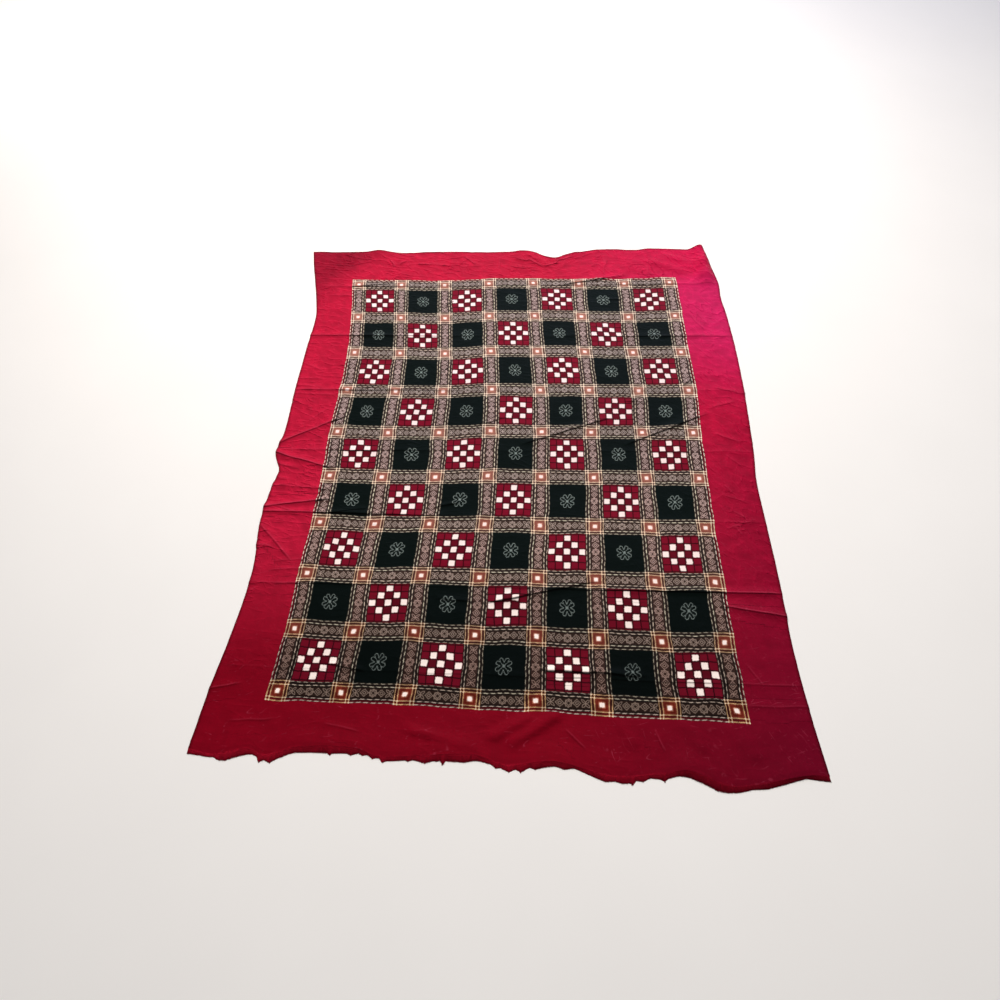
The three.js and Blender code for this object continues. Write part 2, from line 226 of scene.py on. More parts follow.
def smoothCurve(stations, values, at):
    # Smooth curve through the stations; the values may hold one figure or one array for each station
    stations = np.asarray(stations, float)
    values = [np.asarray(v, float) for v in values]
    last = len(stations) - 1
    k = np.clip(np.searchsorted(stations, at) - 1, 0, last - 1)
    slopes = []
    for i in range(last + 1):
        a, b = max(i - 1, 0), min(i + 1, last)
        slopes.append((values[b] - values[a]) / (stations[b] - stations[a]))
    result = np.zeros(len(at))
    for i in range(last):
        here = k == i
        step = stations[i + 1] - stations[i]
        t = (at[here] - stations[i]) / step
        y0, y1, m0, m1 = [np.broadcast_to(v, at.shape)[here]
                          for v in (values[i], values[i + 1], slopes[i], slopes[i + 1])]
        result[here] = ((2 * t**3 - 3 * t**2 + 1) * y0 + (t**3 - 2 * t**2 + t) * step * m0
                        + (3 * t**2 - 2 * t**3) * y1 + (t**3 - t**2) * step * m1)
    return result


def laidPlan(across, along):
    side = [smoothCurve(sideDrift["along"], sideDrift[name], along) for name in sideLines]
    sideways = smoothCurve(list(sideLines.values()), side, across)
    ends = [smoothCurve(end["across"], end["drift"], across) for end in (nearEnd, farEnd)]
    bands = [smoothCurve(bandDrift["across"], bandDrift[name], across) for name in bandLines]
    stations = [-halfLength, *bandLines.values(), halfLength]
    lengthwise = smoothCurve(stations, [ends[0], *bands, ends[1]], along)
    return across + sideways, along + panel["fieldRise"] + lengthwise


def hump(share):
    return np.where(np.abs(share) < 1, (1 + np.cos(np.pi * share)) / 2, 0)


def roughness(x, y, size, seed):
    # Even-handed noise, from about -1 to 1, with lumps of the given size in mm
    return np.array([noise.noise((a, b, seed)) for a, b in zip(x / size, y / size)])


def creaseFold(x, y, fold, flank, seed, every=wander["every"]):
    x0, y0, x1, y1, height, reach = fold
    length = math.hypot(x1 - x0, y1 - y0)
    dirX, dirY = (x1 - x0) / length, (y1 - y0) / length
    around = np.hypot(x - (x0 + x1) / 2, y - (y0 + y1) / 2) < length / 2 + 2 * reach
    rise, off, sharp = np.zeros(len(x)), np.full(len(x), 999.0), np.zeros(len(x))
    px, py = x[around], y[around]
    run = (px - x0) * dirX + (py - y0) * dirY
    towardsFar = 1 if dirX >= 0 else -1
    zero = np.zeros(len(px))
    past = ((py - y0) * dirX - (px - x0) * dirY) * towardsFar
    past = past + wander["reach"] * roughness(run, zero, every, seed)
    share = np.clip(np.minimum(run, length - run) / (wander["runOut"] * length), 0, 1)
    uneven = 1 + wander["uneven"] * roughness(run, zero, every * 0.7, seed + 31)
    off[around] = past
    sharp[around] = height * share**2 * (3 - 2 * share) * uneven
    rise[around] = sharp[around] * np.where(past > 0, hump(past / reach), hump(past / (reach * flank)))
    return rise * soft["stand"], off, sharp


def storageFold(x, y, fold, seed):
    zero = np.zeros(len(x))
    strayed = wander["reach"] * roughness(x, zero, wander["every"] * 2, seed)
    off = y - fold["along"] - fold["slope"] * x - strayed
    heights = [fold["left"], fold["left"], fold["middle"], fold["right"], fold["right"]]
    height = smoothCurve(list(sideLines.values()), heights, np.clip(x, -halfWidth, halfWidth))
    height = height * np.clip((halfWidth + 15 - np.abs(x)) / 45, soft["selvedgeLow"], 1)
    sharp = height * (1 + wander["storageUneven"] * roughness(x, zero, wander["every"], seed + 17))
    rise = sharp * np.where(off > 0, hump(off / soft["storageFar"]), hump(off / soft["storageNear"]))
    return rise * soft["stand"], off, sharp


def foldsAt(x, y):
    # All folds by group, each with a seed of its own; the corner stands up in full
    rise, off, sharp = creaseFold(x, y, cornerRidge, 1.0, 7)
    return {
        "storage": [storageFold(x, y, fold, 3 + k) for k, fold in enumerate(storageFolds)],
        "main": [creaseFold(x, y, fold, soft["mainNear"], 40 + k) for k, fold in enumerate(mainCreases)],
        "small": [creaseFold(x, y, fold, soft["smallNear"], 80 + k, wander["smallEvery"])
                  for k, fold in enumerate(smallCreases)],
        "soft": [creaseFold(x, y, fold, soft["smallNear"], 120 + k) for k, fold in enumerate(softFolds)],
        "corner": [(rise / soft["stand"], off, sharp)],
    }


def nearestCrest(folds):
    # Of the folds in a group, the one that counts most at each point
    best = np.zeros(len(folds[0][1]))
    off, sharp = np.full(len(best), 99.0), np.zeros(len(best))
    for _, past, height in folds:
        weight = height * hump(past / soft["crestReach"])
        here = weight > best
        best[here], off[here], sharp[here] = weight[here], past[here], height[here]
    return np.stack([off, sharp, 0 * off], axis=1)


def endRise(across, along):
    near = np.maximum(smoothCurve(nearEnd["across"], nearEnd["lift"], across), 0)
    far = np.maximum(smoothCurve(farEnd["across"], farEnd["lift"], across), 0)
    return near * hump((along + halfLength) / endReach) + far * hump((halfLength - along) / endReach)


def clothRise(across, along, x, y, groups):
    # Folds that meet run into each other instead of adding up
    parts = [fold[0] for group in groups.values() for fold in group] + [endRise(across, along)]
    folds = np.cbrt(sum(part**3 for part in parts))
    past = np.maximum(np.abs(across) - unrest["fieldHalfWidth"],
                      np.abs(along + panel["fieldRise"]) - unrest["fieldHalfLength"])
    border = np.clip(past / unrest["borderRun"], 0, 1)
    swell = unrest["swell"] * roughness(x, y * 1.5, unrest["swellSize"], 11)
    lumps = (roughness(x * 0.6, y, unrest["crumpleSize"], 12)
             + 0.5 * roughness(x, y, unrest["crumpleSize"] / 2, 13))
    crumple = (unrest["crumple"] + unrest["crumple"] * border) * lumps
    return np.maximum(folds + np.maximum(swell + crumple + unrest["lift"], 0), 0)


def buildCloth():
    bm = bmesh.new()
    bmesh.ops.create_grid(bm, x_segments=panel["columns"], y_segments=panel["rows"], size=0.5)
    bmesh.ops.scale(bm, vec=(panel["width"], panel["length"], 1), verts=bm.verts)
    bmesh.ops.solidify(bm, geom=bm.faces, thickness=panel["thickness"])
    bmesh.ops.recalc_face_normals(bm, faces=bm.faces)
    mesh = bpy.data.meshes.new("cloth_sheet")
    bm.to_mesh(mesh)
    bm.free()

    flat = np.empty(len(mesh.vertices) * 3)
    mesh.vertices.foreach_get("co", flat)
    flat = flat.reshape(-1, 3)
    across, along, level = flat.T
    corner = np.empty(len(mesh.loops), int)
    mesh.loops.foreach_get("vertex_index", corner)
    weave = mesh.uv_layers.new(name="weave")  # flat place on the panel, in metres
    weave.uv.foreach_set("vector", (flat[corner, :2] * mm).astype(np.float32).ravel())

    # A map for baking: the upper face large, the underside small beside it
    normals = np.empty(len(mesh.polygons) * 3)
    mesh.polygons.foreach_get("normal", normals)
    sides = np.repeat(normals.reshape(-1, 3)[:, 2] < -0.5, [p.loop_total for p in mesh.polygons])
    share = flat[corner, :2] / panel["length"] + [halfWidth / panel["length"], 0.5]
    spread = np.where(sides[:, None], share * 0.2 + [0.82, 0.01], share * 0.98 + 0.01)
    bake = mesh.uv_layers.new(name="OFBake")
    bake.uv.foreach_set("vector", spread.astype(np.float32).ravel())
    mesh.uv_layers.active = weave

    x, y = laidPlan(across, along)
    groups = foldsAt(x, y)
    for name in ("storage", "main", "small"):
        crest = mesh.attributes.new(name + "Crest", "FLOAT_VECTOR", "POINT")
        crest.data.foreach_set("vector", nearestCrest(groups[name]).astype(np.float32).ravel())
    z = clothRise(across, along, x, y, groups) + level - level.min()
    low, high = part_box("cloth")
    shift = [(low[i] + high[i]) / 2 / mm - (p.min() + p.max()) / 2 for i, p in enumerate((x, y))]
    laid = np.stack([x + shift[0], y + shift[1], z], axis=1) * mm
    mesh.vertices.foreach_set("co", laid.ravel())
    mesh.shade_smooth()
    mesh.set_sharp_from_angle(angle=math.radians(60))
    mesh.update()
    cloth = bpy.data.objects.new("coverlet_cloth", mesh)
    scene.collection.objects.link(cloth)
    print("cloth:", len(mesh.polygons) * 2, "triangles, stands", round(z.max(), 1), "mm")
    return cloth, shift


# The ikat: sizes in mm on the flat panel, and the dyes
ikat = {
    "columns": 7,
    "rows": 9,
    "columnStep": 199,
    "rowStep": 207,
    "bandHalf": 33,  # of a crossing band
    "stripHalf": 15,  # of the figured strip in it
    "innerLine": 20.5,
    "outerLine": 30.5,
    "rimFrom": 24,  # from an outermost band's middle, where its ground turns red
    "dash": 22,
    "figureStep": 1.5,  # the figures of a strip have stepped edges, yarn by yarn
    "starHalf": 8.5,  # star in the middle of a strip
    "starCore": 4.4,
    "eyeAt": 26,  # eye beside it
    "eyeHalf": 11.5,
    "pupilHalf": 4.5,
    "leafAt": 52,  # four leaves at the end
    "leafRun": 8,
    "leafHalf": 3.4,
    "bossHalf": 11.5,  # of the rust glow in a crossing
    "bossRing": 16.5,
    "die": 26.6,  # step of the small squares in a red check
    "petalStep": 1.8,
    "petalSquash": 0.89,
    "petalLean": 20,  # degrees from the diagonal
    "petalFrom": 7.4,
    "petalTo": 20.4,
    "petalHalf": 5.2,
    "spoke": 12,
    "feather": 4.5,  # how far a yarn's dye strays along it
    "sway": 12,  # how far the lines sway
    "hemShade": 13,  # mm along the near end that are a little darker: painted shade of the sloping hem
    "yarn": 1.3,  # drawn about twice as coarse as the real yarn, so that it shows
}
# Relief in mm, and the painted shade and highlight of the folds
relief = {
    "yarn": 0.06,
    "dryCrease": 0.4,
    "soften": 1.2,
    "wrinkle": 1.3,
    "crest": 0.3,  # share of a fold's height that its sharp crest adds
    "crestNear": 4.5,  # from a crest down to its foot, steep on the near side
    "crestFar": 14,  # and easy on the far side
    "tuckShade": 0.032,  # for each mm of a fold's height
    "highlightAt": 2.5,  # past the crest, where the painted highlight is palest
    "worn": 0.035,
}
dyes = {
    "border": "#ad1433",
    "nearShadedBorder": "#770116",  # painted shade towards the near end
    "coolLitBorder": "#b70b37",  # painted cool window light, bluer towards the right selvedge
    # the same, with painted shade towards the near end
    "coolLitNearShaded": "#65021c",
    "sheenBorder": "#bc1a54",  # painted sheen on its far half
    "wearAndHighlight": "#b4405a",  # painted highlight along dry creases and fold crests
    "check": "#740b22",
    "innerCheck": "#5e081a",  # the four squares about the middle one
    "checkLine": "#1e0206",
    "white": "#f9ebe3",
    "farWhite": "#f2dcdc",
    "black": "#070f0d",
    "flower": "#86938f",
    "bandGround": "#1f1512",
    # the far end's copies of the band colours are paler and greyer: painted cooler far light and sheen
    "farLitGround": "#302623",
    "stripDown": "#3e2a24",  # browner near; the far end's copies are greyer, painted cool far light and sheen
    "stripAcross": "#30211b",
    "farLitStripDown": "#473532",
    "farLitStripAcross": "#43352f",
    "figureDown": "#b39285",
    "figureAcross": "#a99284",
    "farLitFigureDown": "#c2aba8",
    "farLitFigureAcross": "#aea19c",
    "rimGround": "#5c0a16",
    "line": "#ebe0c8",  # beside a black square
    "redLine": "#ecd6c2",  # beside a red check
    "rimLine": "#f4dccc",  # along the plain borders
    "crossGround": "#702013",  # rusty near; its far copy is pinker, painted far light and sheen
    "farLitCrossGround": "#97665a",
    "boss": "#cf7f60",  # glows round the white
    "crossRing": "#8a3f30",
    "crossGlow": "#b87a5c",  # where the lines cross
    "farLitCrossGlow": "#d4b39c",
    "crossLine": "#e2b684",
    "farLitCrossLine": "#ecdcc8",
    "crossDot": "#fff0d8",
}


def ikatCotton():
    # Hand-loomed double-ikat cotton: dull, with feathered edges where the dyed yarns slip past each other
    material, tree = newMaterial("ikat_cotton")
    uv = addNode(tree, "ShaderNodeUVMap", uv_map="weave")
    flat = addNode(tree, "ShaderNodeVectorMath", {0: uv, 3: 1000.0}, operation="SCALE")
    split = addNode(tree, "ShaderNodeSeparateXYZ", {0: flat}).node
    made = {"u": split.outputs[0], "v": split.outputs[1]}

    # Noise along the weft, along the warp, and in lumps, per mm
    for name, scale, detail in (
        ("weftSlip", (0.004, 0.42, 1), 2.0),
        ("warpSlip", (0.42, 0.004, 1), 2.0),
        ("lumpU", (0.012, 0.012, 1), 3.0),
        ("lumpV", (0.012, 0.012, 4), 3.0),
        ("weftShade", (0.006, 0.35, 1), 3.0),
        ("warpShade", (0.35, 0.006, 1), 3.0),
        ("fade", (0.003, 0.003, 1), 3.0),
    ):
        place = addNode(tree, "ShaderNodeMapping",
                        {"Vector": flat, "Scale": scale, "Location": (0, 0, scale[2])})
        made[name] = addNode(tree, "ShaderNodeTexNoise", {"Vector": place, "Scale": 1.0, "Detail": detail})

    # Relief too fine for the mesh: yarns, dry little creases, crosswise wrinkles and dents
    yarnScale = 0.314 / ikat["yarn"]  # of a wave whose period is one yarn
    for name, way in (("weft", "Y"), ("warp", "X")):
        made[name] = addNode(tree, "ShaderNodeTexWave",
                             {"Vector": flat, "Scale": yarnScale, "Distortion": 1.5}, bands_direction=way)
    for name, size, lean, detail, kind in (  # size in mm along and across the lean, in degrees
        ("patchy", (48, 48, 1), 0, 2.0, "FBM"),
        ("soften", (24, 17, 1), 0, 3.0, "FBM"),
        ("wide", (170, 130, 1), 0, 1.0, "FBM"),
        ("crumple", (95, 34, 1), -6, 2.0, "RIDGED_MULTIFRACTAL"),
        ("slant", (72, 40, 1), -55, 2.0, "RIDGED_MULTIFRACTAL"),
        ("dry", (76, 26, 1), 14, 1.0, "RIDGED_MULTIFRACTAL"),
        ("slantCreases", (75, 30, 1), -62, 1.0, "RIDGED_MULTIFRACTAL"),
        ("mottle", (36, 26, 1), -30, 5.0, "FBM"),
    ):
        turn = (0, 0, math.radians(lean))
        place = addNode(tree, "ShaderNodeMapping", {"Vector": flat, "Scale": size, "Rotation": turn},
                        vector_type="TEXTURE")
        look = {"Vector": place, "Scale": 1.0, "Detail": detail}
        if kind != "FBM":
            look["Offset"] = 1.0  # sharp ridges
        made[name] = addNode(tree, "ShaderNodeTexNoise", look, noise_type=kind)
    turn = (0, 0, math.radians(-28))  # a net of small dents, for crumpled cloth
    place = addNode(tree, "ShaderNodeMapping", {"Vector": flat, "Scale": (62, 40, 1), "Rotation": turn},
                    vector_type="TEXTURE")
    bend = addNode(tree, "ShaderNodeTexNoise", {"Vector": place, "Scale": 0.8, "Detail": 2.0}, out=1)
    bent = addNode(tree, "ShaderNodeVectorMath", {0: place, 1: bend}, operation="ADD")
    made["net"] = addNode(tree, "ShaderNodeTexVoronoi", {"Vector": bent, "Scale": 1.0},
                          voronoi_dimensions="2D")

    # The pattern, worked out step by step; the steps named here are kept between 0 and 1
    clamped = {"lineDown0", "lineAcross0", "figure0", "boss", "centre", "dot0", "die0", "seam", "flower",
               "stroke", "patch"}
    steps = []
    for a, way, slip, lump, step, count, middle in (
        ("u", "Down", "weftSlip", "lumpU", ikat["columnStep"], ikat["columns"], 0),
        ("v", "Across", "warpSlip", "lumpV", ikat["rowStep"], ikat["rows"], panel["fieldRise"]),
    ):
        fieldHalf = step * count / 2
        steps += [
            # the flat place, with the dye's slip in it, from the field's middle
            (a + "1", "MULTIPLY_ADD", slip, ikat["feather"], a),
            (a + "2", "MULTIPLY_ADD", lump, ikat["sway"], a + "1"),
            (a + a, "SUBTRACT", a + "2", (ikat["feather"] + ikat["sway"]) / 2 - middle),
            # cells, and the place in a cell from its middle and from the nearest band's middle
            ("g" + a, "MULTIPLY_ADD", a + a, 1 / step, count / 2),
            ("cell" + a, "FLOOR", "g" + a),
            ("f" + a, "FRACT", "g" + a),
            ("c" + a, "MULTIPLY_ADD", "f" + a, step, -step / 2),
            ("a" + a, "ABSOLUTE", "c" + a),
            ("b" + a, "SUBTRACT", step / 2, "a" + a),
            ("in" + way, "LESS_THAN", "b" + a, ikat["bandHalf"]),
            ("from" + a, "ABSOLUTE", a + a),
            ("field" + a, "LESS_THAN", "from" + a, fieldHalf + ikat["bandHalf"]),
            ("rim" + a, "GREATER_THAN", "from" + a, fieldHalf),
            ("outside" + a, "GREATER_THAN", "from" + a, fieldHalf + ikat["rimFrom"]),
            # small squares of a red check: which one, and the place in it
            ("q" + a, "MULTIPLY", "c" + a, 1 / ikat["die"]),
            ("i" + a, "ROUND", "q" + a),
            ("r" + a, "SUBTRACT", "q" + a, "i" + a),
            ("e" + a, "ABSOLUTE", "r" + a),
            ("j" + a, "ABSOLUTE", "i" + a),
        ]
    steps += [
        ("crossing", "MULTIPLY", "inDown", "inAcross"),
        ("band", "MAXIMUM", "inDown", "inAcross"),
        ("field", "MULTIPLY", "fieldu", "fieldv"),
        ("rim", "MAXIMUM", "rimu", "rimv"),
        ("outside", "MAXIMUM", "outsideu", "outsidev"),
        ("both", "ADD", "cellu", "cellv"),
        ("odd", "FLOORED_MODULO", "both", 2),
        ("strong", "MAXIMUM", "rim", "crossing"),
        ("outer", "MULTIPLY_ADD", "strong", 0.35, 0.65),
        ("innerWidth", "MULTIPLY_ADD", "crossing", 0.2, 1.7),
        ("outerWidth0", "MULTIPLY_ADD", "crossing", 0.2, 1.35),
        ("outerWidth", "MULTIPLY_ADD", "rim", 0.4, "outerWidth0"),
    ]
    # Dashed lines along both kinds of band, solid over a crossing
    for way, other, off, along, lump in (
        ("Down", "Across", "bu", "vv", "lumpU"),
        ("Across", "Down", "bv", "uu", "lumpV"),
    ):
        steps += [
            (f"dash{way}0", "MULTIPLY", along, 1 / ikat["dash"]),
            (f"dash{way}1", "MULTIPLY_ADD", off, 0.045, f"dash{way}0"),
            (f"dash{way}2", "PINGPONG", f"dash{way}1", 0.5),
            (f"dash{way}", "MULTIPLY_ADD", f"dash{way}2", 8.0, -1.1),
            (f"uneven{way}", "MULTIPLY_ADD", lump, 1.1, 0.35),
            (f"on{way}0", "MINIMUM", f"dash{way}", f"uneven{way}"),
            (f"solid{way}", "MULTIPLY", f"in{other}", 0.6),
            (f"on{way}1", "MAXIMUM", f"on{way}0", f"solid{way}"),
            (f"on{way}2", "MINIMUM", f"on{way}1", 1.0),
            (f"on{way}", "MAXIMUM", f"on{way}2", 0.12),
            (f"inner{way}0", "SUBTRACT", off, ikat["innerLine"]),
            (f"inner{way}1", "ABSOLUTE", f"inner{way}0"),
            (f"inner{way}", "MULTIPLY_ADD", f"inner{way}1", -0.95, "innerWidth"),
            (f"outer{way}0", "SUBTRACT", off, ikat["outerLine"]),
            (f"outer{way}1", "ABSOLUTE", f"outer{way}0"),
            (f"outer{way}2", "MULTIPLY_ADD", f"outer{way}1", -0.95, "outerWidth"),
            (f"outer{way}", "MINIMUM", f"outer{way}2", "outer"),
            (f"line{way}0", "MAXIMUM", f"inner{way}", f"outer{way}"),
            (f"line{way}", "MULTIPLY", f"line{way}0", f"on{way}"),
            (f"glow{way}0", "MINIMUM", f"inner{way}1", f"outer{way}1"),
            (f"glow{way}1", "MULTIPLY_ADD", f"glow{way}0", -0.26, 1.1),
            (f"glow{way}", "MAXIMUM", f"glow{way}1", 0.0),
        ]
    diagonal = 0.7071  # cosine of 45 degrees
    steps += [
        # place in a strip: s along it from the cell's middle, t across it
        ("alongGap", "SUBTRACT", "av", "au"),
        ("s0", "MULTIPLY_ADD", "alongGap", "inDown", "au"),
        ("acrossGap", "SUBTRACT", "bu", "bv"),
        ("t0", "MULTIPLY_ADD", "acrossGap", "inDown", "bv"),
        ("s", "SNAP", "s0", ikat["figureStep"]),
        ("t", "SNAP", "t0", ikat["figureStep"]),
        ("strip", "LESS_THAN", "t0", ikat["stripHalf"]),
        # star in the middle, an eye beside it, four leaves at the end
        ("most", "MAXIMUM", "s", "t"),
        ("sum", "ADD", "s", "t"),
        ("star0", "SUBTRACT", "most", ikat["starHalf"]),
        ("star1", "ABSOLUTE", "star0"),
        ("star2", "MULTIPLY_ADD", "sum", diagonal, -ikat["starHalf"]),
        ("star3", "ABSOLUTE", "star2"),
        ("star", "MINIMUM", "star1", "star3"),
        ("core0", "ADD", "star2", ikat["starCore"]),
        ("core", "ABSOLUTE", "core0"),
        ("eyeS0", "SUBTRACT", "s", ikat["eyeAt"]),
        ("eyeS", "ABSOLUTE", "eyeS0"),
        ("eye0", "MULTIPLY_ADD", "t", 1.05, "eyeS"),
        ("eye1", "SUBTRACT", "eye0", ikat["eyeHalf"]),
        ("eye2", "ABSOLUTE", "eye1"),
        ("eye", "MULTIPLY", "eye2", 0.7),
        ("pupil0", "SUBTRACT", "eye0", ikat["pupilHalf"]),
        ("pupil1", "ABSOLUTE", "pupil0"),
        ("pupil", "MULTIPLY", "pupil1", 0.7),
        ("endS0", "SUBTRACT", "s", ikat["leafAt"]),
        ("endS", "ABSOLUTE", "endS0"),
        ("leafOff0", "SUBTRACT", "endS", "t"),
        ("leafOff1", "ABSOLUTE", "leafOff0"),
        ("leafOff", "MULTIPLY", "leafOff1", diagonal),
        ("leafRun0", "ADD", "endS", "t"),
        ("leafRun1", "MULTIPLY_ADD", "leafRun0", diagonal / ikat["leafRun"], -1.0),
        ("leafRun2", "MULTIPLY", "leafRun1", "leafRun1"),
        ("leafHalf", "MULTIPLY_ADD", "leafRun2", -ikat["leafHalf"], ikat["leafHalf"]),
        ("leaf0", "SUBTRACT", "leafOff", "leafHalf"),
        ("leaf", "ABSOLUTE", "leaf0"),
        ("near1", "MINIMUM", "star", "core"),
        ("near2", "MINIMUM", "eye", "pupil"),
        ("near3", "MINIMUM", "near1", "near2"),
        ("near4", "MINIMUM", "near3", "leaf"),
        ("figure0", "MULTIPLY_ADD", "near4", -1.0, 1.5),
        ("dyed0", "ADD", "weftSlip", "warpSlip"),
        ("dyed1", "MULTIPLY_ADD", "dyed0", 2.4, -1.25),
        ("dyed2", "MAXIMUM", "dyed1", 0.15),
        ("dyed", "MINIMUM", "dyed2", 1.0),
        ("figure", "MULTIPLY", "figure0", "dyed"),
        # crossing: a rounded white square that glows into rust, a ring, and glints where lines cross
        ("ringAt", "SMOOTH_MAX", "bu", "bv", 6.0),
        ("rust0", "MULTIPLY_ADD", "ringAt", -0.13, 3.5),
        ("rust1", "MAXIMUM", "rust0", 0.2),
        ("rust", "MINIMUM", "rust1", 1.0),
        ("boss", "MULTIPLY_ADD", "ringAt", -0.2, ikat["bossHalf"] * 0.2),
        ("centre", "MULTIPLY_ADD", "ringAt", -0.36, 3.06),
        ("ring0", "SUBTRACT", "ringAt", ikat["bossRing"]),
        ("ring1", "ABSOLUTE", "ring0"),
        ("ring2", "MULTIPLY_ADD", "ring1", -0.8, 1.2),
        ("ring3", "MAXIMUM", "ring2", 0.0),
        ("bossRing", "MINIMUM", "ring3", 0.55),
        ("glow0", "MULTIPLY", "glowDown", "glowAcross"),
        ("glow", "MINIMUM", "glow0", 0.6),
        ("dot0", "MULTIPLY_ADD", "glow0", 1.9, -0.6),
        ("dot", "MULTIPLY", "dot0", "crossing"),
        ("lines0", "MAXIMUM", "lineDown", "lineAcross"),
        ("lines", "MAXIMUM", "lines0", "dot"),
        # nine of the small squares are white
        ("squareStep", "ADD", "ju", "jv"),
        ("oddStep", "FLOORED_MODULO", "squareStep", 2),
        ("few", "LESS_THAN", "squareStep", 2.5),
        ("even", "SUBTRACT", 1.0, "oddStep"),
        ("isDie", "MULTIPLY", "few", "even"),
        ("edge", "MAXIMUM", "eu", "ev"),
        ("rounded", "SMOOTH_MAX", "eu", "ev", 0.2),
        ("die0", "MULTIPLY_ADD", "rounded", -11.0, 4.78),
        ("die", "MULTIPLY", "die0", "isDie"),
        ("seam", "MULTIPLY_ADD", "edge", 11.0, -4.3),
        ("inner", "COMPARE", "squareStep", 1.0, 0.1),
        # flower: petals in pairs about the diagonals
        ("pu", "SNAP", "au", ikat["petalStep"]),
        ("pv0", "MULTIPLY", "av", ikat["petalSquash"]),
        ("pv", "SNAP", "pv0", ikat["petalStep"]),
        ("angle", "ARCTAN2", "pv", "pu"),
        ("angle1", "SUBTRACT", "angle", math.pi / 4),
        ("angle2", "ABSOLUTE", "angle1"),
        ("angle3", "SUBTRACT", "angle2", math.radians(ikat["petalLean"])),
        ("pu2", "MULTIPLY", "pu", "pu"),
        ("r2", "MULTIPLY_ADD", "pv", "pv", "pu2"),
        ("radius", "SQRT", "r2"),
        ("cosine", "COSINE", "angle3"),
        ("sine", "SINE", "angle3"),
        ("px", "MULTIPLY", "radius", "cosine"),
        ("py", "MULTIPLY", "radius", "sine"),
        ("px1", "MAXIMUM", "px", ikat["petalFrom"]),
        ("px2", "MINIMUM", "px1", ikat["petalTo"]),
        ("px3", "SUBTRACT", "px", "px2"),
        ("px4", "MULTIPLY", "px3", "px3"),
        ("petal0", "MULTIPLY_ADD", "py", "py", "px4"),
        ("petal1", "SQRT", "petal0"),
        ("petal2", "SUBTRACT", "petal1", ikat["petalHalf"]),
        ("petal3", "ABSOLUTE", "petal2"),
        ("spoke0", "SINE", "angle2"),
        ("spoke1", "MULTIPLY", "spoke0", "radius"),
        ("spokeEnd", "SUBTRACT", "radius", ikat["spoke"]),
        ("spoke", "MAXIMUM", "spoke1", "spokeEnd"),
        ("drawn", "MINIMUM", "petal3", "spoke"),
        ("flower", "MULTIPLY_ADD", "drawn", -1.3, 1.5),
        # yarn by yarn shade
        ("shade0", "ADD", "weftShade", "warpShade"),
        ("shade1", "MULTIPLY_ADD", "shade0", 0.2, 0.8),
        ("shade", "MULTIPLY_ADD", "fade", 0.24, "shade1"),
        ("shadeAll", "SUBTRACT", "shade", 0.12),
        # painted shade darkens the near end, on the right in a longer run; painted sheen and far light
        # come in towards the far end: from and to, in mm on the panel
        ("nearShadeRamp", "SMOOTHSTEP", "v2", -960.0, -330.0),
        ("coolNearShadeRamp", "LINEAR", "v2", -1070.0, 690.0),
        ("farSheenRamp", "SMOOTHSTEP", "v2", 130.0, 690.0),
        ("farLitRamp", "LINEAR", "v2", -950.0, 250.0),
        ("farEnd", "SMOOTHSTEP", "v2", 880.0, 1000.0),
        ("cool", "LINEAR", "u", 150.0, 880.0),
        ("slantCreasesAt", "LINEAR", "u", -500.0, 300.0),
        # dry creases on the plain cloth: relief, and a painted highlight along them
        ("yarns", "ADD", "weft", "warp"),
        ("slantCreases1", "MULTIPLY", "slantCreases", "slantCreasesAt"),
        ("creaseLines", "MAXIMUM", "dry", "slantCreases1"),
        ("stroke", "MULTIPLY_ADD", "creaseLines", 9.0, -11.9),
        ("patch", "MULTIPLY_ADD", "patchy", 5.0, -2.3),
        ("ridge", "MULTIPLY", "stroke", "patch"),
        ("plainCloth", "SUBTRACT", 1.0, "field"),
        ("creaseHighlight0", "MULTIPLY", "ridge", "plainCloth"),
        ("nearness", "MULTIPLY_ADD", "nearShadeRamp", -0.1, 0.26),
        ("creaseHighlight", "MULTIPLY", "creaseHighlight0", "nearness"),
        ("loose0", "MULTIPLY_ADD", "wide", 3.2, -1.1),
        ("loose1", "MAXIMUM", "loose0", 0.45),
        ("calm0", "MULTIPLY_ADD", "nearShadeRamp", 0.7, 0.3),  # the near cloth lies calmer
        ("calm", "MULTIPLY", "calm0", "plainCloth"),
        ("loose2", "ADD", "calm", 0.4),
        ("loose3", "MULTIPLY_ADD", "farEnd", 0.9, "loose2"),
        ("loose", "MULTIPLY", "loose1", "loose3"),
        ("relief0", "MULTIPLY", "yarns", relief["yarn"]),
        ("relief1", "MULTIPLY_ADD", "ridge", relief["dryCrease"], "relief0"),
        ("relief2", "MULTIPLY_ADD", "soften", relief["soften"], "relief1"),
        # flat wrinkles on the left and at the far end, steep ones on the right
        ("flatter", "MULTIPLY_ADD", "cool", -0.28, 1.1),
        ("steeper", "MULTIPLY_ADD", "cool", 0.2, 0.88),
        ("flat0", "MULTIPLY", "crumple", "flatter"),
        ("steep0", "MULTIPLY", "slant", "steeper"),
        ("crests0", "MAXIMUM", "steep0", "flat0"),
        ("crests1", "MULTIPLY_ADD", "crests0", 3.0, -3.5),
        ("crests2", "MAXIMUM", "crests1", 0.0),
        ("crests", "MULTIPLY", "crests2", "calm0"),
        ("swells", "ADD", "slant", "crumple"),
        ("wrinkles0", "MULTIPLY_ADD", "swells", 0.25, "crests"),
        ("wrinkles1", "MULTIPLY_ADD", "net", 1.6, "wrinkles0"),
        ("wrinkles", "MULTIPLY", "wrinkles1", "loose"),
        ("relief3", "MULTIPLY_ADD", "wrinkles", relief["wrinkle"], "relief2"),
    ]
